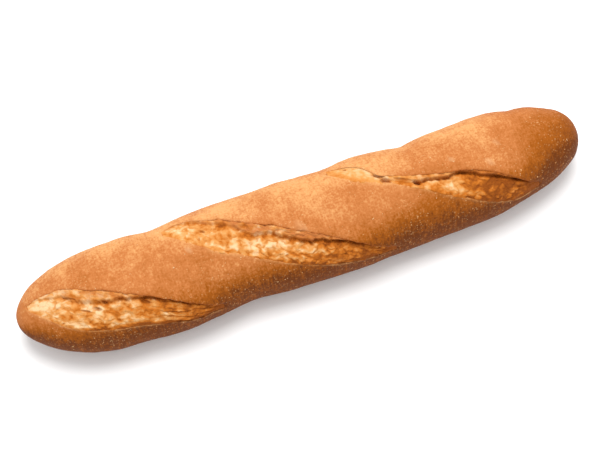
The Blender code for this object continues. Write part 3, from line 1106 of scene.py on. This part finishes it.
# Grain of the browning, coarse to fine: its size in millimetres, the noise's detail, how
# far it shifts how baked a place looks, the attribute that says how strong it is at a
# place, and how it is squeezed along X, Y and Z. The last one, squeezed across the loaf,
# becomes fine lines that run round it, where the skin stretched as it rose.
BrowningGrain = namedtuple("BrowningGrain", "size detail weight strength squeeze")
BROWNING_GRAINS = (
    BrowningGrain(9.0, 4.0, 0.32, "even", (1.0, 1.0, 1.0)),      # thicker or drier skin
    BrowningGrain(2.6, 3.0, 0.48, "grain", (1.0, 1.0, 1.0)),     # freckles
    BrowningGrain(1.1, 2.0, 0.66, "grain", (1.0, 1.0, 1.0)),     # pores and pin-sized blisters
    BrowningGrain(0.9, 2.0, -0.50, "strokes", (1.0, 0.1, 0.1)),
)
# Tones laid over the browning: the attribute that says where, how strong, and the colour.
Overlay = namedtuple("Overlay", "attribute strength tone")
OVERLAYS = (
    Overlay("stretch", 0.75, "pale"),    # skin that stretched at a cut's tip
    Overlay("rim", 0.60, "pale"),        # painted highlight along a raised rim
    Overlay("lip", 0.60, "seared"),      # thin lip of an ear
)
# Flour specks between the modelled clots, too small and too many to model: spacing and
# reach in millimetres, the share of places that hold one, and how strong it is.
Specks = namedtuple("Specks", "spacing reach share strength")
FLOUR_SPECKS = (
    Specks(1.05, 0.50, 0.55, 0.28),
    Specks(2.6, 0.75, 0.40, 0.38),
)


def crust_material():
    """Baked wheat crust: dry and dull with a faint sheen, mottled gold to brown, floured."""
    material, tree, shader = new_material("baked_wheat_crust")
    coords = add_node(tree, "ShaderNodeTexCoord").outputs["Object"]

    # thin skin is golden, and it browns in patches towards the sides and the underside; the near side
    # is darkened further by painted shade and the far crown paled by painted light
    bake = add_node(tree, "ShaderNodeAttribute", {"attribute_name": "bake"})
    level = bake.outputs["Fac"]
    for grain in BROWNING_GRAINS:
        squeezed = add_node(tree, "ShaderNodeMapping", None, Vector=coords, Scale=grain.squeeze)
        pattern = add_node(
            tree, "ShaderNodeTexNoise", None, Vector=squeezed.outputs[0], Scale=1 / (grain.size * MM),
            Detail=grain.detail,
        )
        even_handed = add_node(
            tree, "ShaderNodeMath", {"operation": "SUBTRACT"}, in_0=pattern.outputs["Fac"], in_1=0.5
        )
        strength = add_node(tree, "ShaderNodeAttribute", {"attribute_name": grain.strength})
        weighted = add_node(
            tree, "ShaderNodeMath", {"operation": "MULTIPLY"}, in_0=strength.outputs["Fac"],
            in_1=grain.weight,
        )
        level = add_node(
            tree, "ShaderNodeMath", {"operation": "MULTIPLY_ADD"}, in_0=even_handed.outputs[0],
            in_1=weighted.outputs[0], in_2=level,
        ).outputs[0]
    strokes = pattern
    share = add_node(tree, "ShaderNodeMapRange", None, Value=level, From_Min=-0.30, From_Max=1.0)
    ramp = add_node(tree, "ShaderNodeValToRGB", None, Fac=share.outputs["Result"])
    stops = ramp.color_ramp.elements
    stops[0].position, stops[0].color = 0.0, colour("pale")
    stops[1].position, stops[1].color = 1.0, colour("brown")
    stops.new(0.24).color = colour("golden")
    stops.new(0.56).color = colour("amber")
    base = ramp.outputs["Color"]

    for overlay in OVERLAYS:
        where = add_node(tree, "ShaderNodeAttribute", {"attribute_name": overlay.attribute})
        amount = add_node(
            tree, "ShaderNodeMath", {"operation": "MULTIPLY"}, in_0=where.outputs["Fac"],
            in_1=overlay.strength,
        )
        base = add_node(
            tree, "ShaderNodeMix", {"data_type": "RGBA"}, in_0=amount.outputs[0], in_6=base,
            in_7=colour(overlay.tone),
        ).outputs[2]

    # flour lies in drifts, and each speck has its own strength
    dusting = add_node(tree, "ShaderNodeAttribute", {"attribute_name": "dusting"})
    for kind in FLOUR_SPECKS:
        scatter = add_node(
            tree, "ShaderNodeTexVoronoi", None, Vector=coords, Scale=1 / (kind.spacing * MM)
        )
        chance = add_node(tree, "ShaderNodeSeparateColor", None, Color=scatter.outputs["Color"])
        held = add_node(
            tree, "ShaderNodeMapRange", None, Value=chance.outputs["Red"], From_Min=1.0 - kind.share,
            From_Max=1.0, To_Max=1.6 * kind.strength,
        )
        near = add_node(
            tree, "ShaderNodeMapRange", {"interpolation_type": "SMOOTHSTEP"},
            Value=scatter.outputs["Distance"], From_Min=kind.reach / kind.spacing, From_Max=0.0,
        )
        speck = add_node(
            tree, "ShaderNodeMath", {"operation": "MULTIPLY"}, in_0=held.outputs["Result"],
            in_1=near.outputs["Result"],
        )
        amount = add_node(
            tree, "ShaderNodeMath", {"operation": "MULTIPLY", "use_clamp": True}, in_0=speck.outputs[0],
            in_1=dusting.outputs["Fac"],
        )
        base = add_node(
            tree, "ShaderNodeMix", {"data_type": "RGBA"}, in_0=amount.outputs[0], in_6=base,
            in_7=colour("speck"),
        ).outputs[2]
    film = add_node(
        tree, "ShaderNodeMapRange", None, Value=dusting.outputs["Fac"], From_Min=1.5, From_Max=2.8,
        To_Max=0.4,
    )
    base = add_node(
        tree, "ShaderNodeMix", {"data_type": "RGBA"}, in_0=film.outputs["Result"], in_6=base,
        in_7=colour("flour"),
    ).outputs[2]
    tree.links.new(base, shader.inputs["Base Color"])

    # the skin is leathery at close range
    pores = add_node(tree, "ShaderNodeTexNoise", None, Vector=coords, Scale=1 / (1.1 * MM), Detail=4.0)
    ribbed = add_node(
        tree, "ShaderNodeMath", {"operation": "MULTIPLY_ADD"}, in_0=strokes.outputs["Fac"], in_1=0.5,
        in_2=pores.outputs["Fac"],
    )
    relief = add_node(
        tree, "ShaderNodeBump", None, Height=ribbed.outputs[0], Strength=0.7, Distance=0.35 * MM
    )
    tree.links.new(relief.outputs["Normal"], shader.inputs["Normal"])
    shader.inputs["Roughness"].default_value = 0.62
    shader.inputs["IOR"].default_value = 1.45
    shader.inputs["Specular IOR Level"].default_value = 0.08
    return material


def crumb_material():
    """Torn wheat crumb: matt and open, cream where pale, gold to brown where it toasted, with painted
    shade in its creases, grooves and holes.
    """
    material, tree, shader = new_material("torn_wheat_crumb")
    coords = add_node(tree, "ShaderNodeTexCoord").outputs["Object"]

    # a fine mottle shifts how toasted each place looks
    toast = add_node(tree, "ShaderNodeAttribute", {"attribute_name": "toast"}).outputs["Fac"]
    hollow = add_node(tree, "ShaderNodeAttribute", {"attribute_name": "hollow"}).outputs["Fac"]
    mottle = add_node(tree, "ShaderNodeTexNoise", None, Vector=coords, Scale=1 / (2.0 * MM), Detail=4.0)
    shift = add_node(
        tree, "ShaderNodeMath", {"operation": "MULTIPLY_ADD"}, in_0=mottle.outputs["Fac"], in_1=0.5,
        in_2=-0.25,
    )
    level = add_node(tree, "ShaderNodeMath", {"operation": "ADD"}, in_0=toast, in_1=shift.outputs[0])
    ramp = add_node(tree, "ShaderNodeValToRGB", None, Fac=level.outputs[0])
    stops = ramp.color_ramp.elements
    stops[0].position, stops[0].color = 0.04, colour("cream")
    stops[1].position, stops[1].color = 1.0, colour("toast")
    stops.new(0.34).color = colour("gold_crumb")
    stops.new(0.64).color = colour("orange_crumb")

    # the ledge keeps patches of crust, and deep places get painted shade
    skin = add_node(tree, "ShaderNodeAttribute", {"attribute_name": "skin"})
    covered = add_node(
        tree, "ShaderNodeMix", {"data_type": "RGBA"}, in_0=skin.outputs["Fac"],
        in_6=ramp.outputs["Color"], in_7=colour("golden"),
    )
    shaded = add_node(tree, "ShaderNodeMath", {"operation": "MULTIPLY"}, in_0=hollow, in_1=0.65)
    base = add_node(
        tree, "ShaderNodeMix", {"data_type": "RGBA"}, in_0=shaded.outputs[0], in_6=covered.outputs[2],
        in_7=colour("hollow"),
    )
    tree.links.new(base.outputs[2], shader.inputs["Base Color"])

    # small pores stand open all over it
    pores = add_node(tree, "ShaderNodeTexNoise", None, Vector=coords, Scale=1 / (0.8 * MM), Detail=4.0)
    relief = add_node(
        tree, "ShaderNodeBump", None, Height=pores.outputs["Fac"], Strength=0.6, Distance=0.3 * MM
    )
    tree.links.new(relief.outputs["Normal"], shader.inputs["Normal"])
    shader.inputs["Roughness"].default_value = 0.7
    shader.inputs["IOR"].default_value = 1.4
    shader.inputs["Specular IOR Level"].default_value = 0.1
    return material


def flour_material():
    """Wheat flour baked on: chalky, off-white and without shine, tanned here and there."""
    material, tree, shader = new_material("baked_on_flour")
    coords = add_node(tree, "ShaderNodeTexCoord").outputs["Object"]
    clots = add_node(tree, "ShaderNodeTexNoise", None, Vector=coords, Scale=1 / (3 * MM), Detail=2.0)
    tanned = add_node(
        tree, "ShaderNodeMapRange", None, Value=clots.outputs["Fac"], From_Min=0.35, From_Max=0.65
    )
    tint = add_node(
        tree, "ShaderNodeMix", {"data_type": "RGBA"}, in_0=tanned.outputs["Result"],
        in_6=colour("flour"), in_7=colour("pale"),
    )
    tree.links.new(tint.outputs[2], shader.inputs["Base Color"])
    shader.inputs["Roughness"].default_value = 0.9
    shader.inputs["Specular IOR Level"].default_value = 0.1
    return material


# =======================================================================================
# Stage
# =======================================================================================


def direction(azimuth, elevation):
    """Unit vector from the loaf towards a viewer at an azimuth and elevation."""
    a, e = math.radians(azimuth), math.radians(elevation)
    return Vector((math.sin(a) * math.cos(e), -math.cos(a) * math.cos(e), math.sin(e)))


def build_floor():
    """A sheet of matt white paper under the loaf."""
    bm = bmesh.new()
    bmesh.ops.create_grid(bm, x_segments=1, y_segments=1, size=FLOOR_SIZE)
    mesh = bpy.data.meshes.new("floor")
    bm.to_mesh(mesh)
    bm.free()
    material, _, shader = new_material("matt_white_paper")
    shader.inputs["Base Color"].default_value = hex_colour("#F6F6F6")
    shader.inputs["Roughness"].default_value = 1.0
    shader.inputs["Specular IOR Level"].default_value = 0.0
    mesh.materials.append(material)
    floor = bpy.data.objects.new("floor", mesh)
    bpy.context.scene.collection.objects.link(floor)


def build_camera():
    """A camera that looks down at the loaf from its near side."""
    camera = bpy.data.cameras.new("camera")
    camera.lens = LENS
    camera.sensor_width = SENSOR
    item = bpy.data.objects.new("camera", camera)
    bpy.context.scene.collection.objects.link(item)
    back = direction(VIEW_AZIMUTH, VIEW_ELEVATION)
    item.location = Vector(VIEW_AIM) + back * VIEW_DISTANCE
    item.rotation_euler = back.to_track_quat("Z", "Y").to_euler()
    bpy.context.scene.camera = item


def build_light(name, azimuth, elevation, distance, size, power):
    """A round soft light that faces the loaf."""
    lamp = bpy.data.lights.new(name, "AREA")
    lamp.shape = "DISK"
    lamp.size = size
    lamp.energy = power
    item = bpy.data.objects.new(name, lamp)
    towards = direction(azimuth, elevation)
    item.location = towards * distance
    item.rotation_euler = towards.to_track_quat("Z", "Y").to_euler()
    bpy.context.scene.collection.objects.link(item)


def build_stage():
    """Pale floor, soft light from above and a little behind, an even sky, and the camera."""
    build_floor()
    build_camera()
    build_light("key_light", azimuth=168.0, elevation=73.0, distance=1.5, size=0.95, power=19.0)
    world = bpy.data.worlds.new("studio")
    world.use_nodes = True
    background = world.node_tree.nodes["Background"]
    background.inputs["Color"].default_value = (1.0, 1.0, 1.0, 1.0)
    background.inputs["Strength"].default_value = SKY_STRENGTH
    bpy.context.scene.world = world
    bpy.context.scene.view_settings.view_transform = "Standard"


# =======================================================================================
# Operators and panel
# =======================================================================================


class BAGUETTE_OT_crust(bpy.types.Operator):
    """Model the baked crust with its ears and rims"""

    bl_idname = "baguette.crust"
    bl_label = "Crust"

    def execute(self, context):
        build_crust()
        return {"FINISHED"}


class BAGUETTE_OT_crumb(bpy.types.Operator):
    """Model the torn crumb in each of the cuts"""

    bl_idname = "baguette.crumb"
    bl_label = "Torn crumb"

    def execute(self, context):
        for cut in CUTS:
            build_crumb(cut)
        return {"FINISHED"}


class BAGUETTE_OT_flour(bpy.types.Operator):
    """Scatter clots of flour over the crust"""

    bl_idname = "baguette.flour"
    bl_label = "Flour"

    def execute(self, context):
        build_flecks()
        return {"FINISHED"}


class BAGUETTE_OT_stage(bpy.types.Operator):
    """Set up the floor, the lights and the camera"""

    bl_idname = "baguette.stage"
    bl_label = "Stage"

    def execute(self, context):
        build_stage()
        return {"FINISHED"}


class BAGUETTE_PT_panel(bpy.types.Panel):
    """Lists the loaf's sizes, colours and pieces"""

    bl_idname = "BAGUETTE_PT_panel"
    bl_label = "Demi-baguette"
    bl_space_type = "VIEW_3D"
    bl_region_type = "UI"
    bl_category = "Baguette"

    def draw(self, context):
        for group in (context.scene.baguette_sizes, context.scene.baguette_colours):
            for name in group.__annotations__:
                self.layout.prop(group, name)
        for operator in OPERATORS:
            self.layout.operator(operator.bl_idname)


OPERATORS = (BAGUETTE_OT_crust, BAGUETTE_OT_crumb, BAGUETTE_OT_flour, BAGUETTE_OT_stage)
CLASSES = (BaguetteSizes, BaguetteColours) + OPERATORS + (BAGUETTE_PT_panel,)


def register():
    for item in CLASSES:
        bpy.utils.register_class(item)
    bpy.types.Scene.baguette_sizes = PointerProperty(type=BaguetteSizes)
    bpy.types.Scene.baguette_colours = PointerProperty(type=BaguetteColours)


def unregister():
    del bpy.types.Scene.baguette_colours
    del bpy.types.Scene.baguette_sizes
    for item in reversed(CLASSES):
        bpy.utils.unregister_class(item)


def main():
    register()
    bpy.ops.baguette.crust()
    bpy.ops.baguette.crumb()
    bpy.ops.baguette.flour()
    bpy.ops.baguette.stage()


if __name__ == "__main__":
    main()
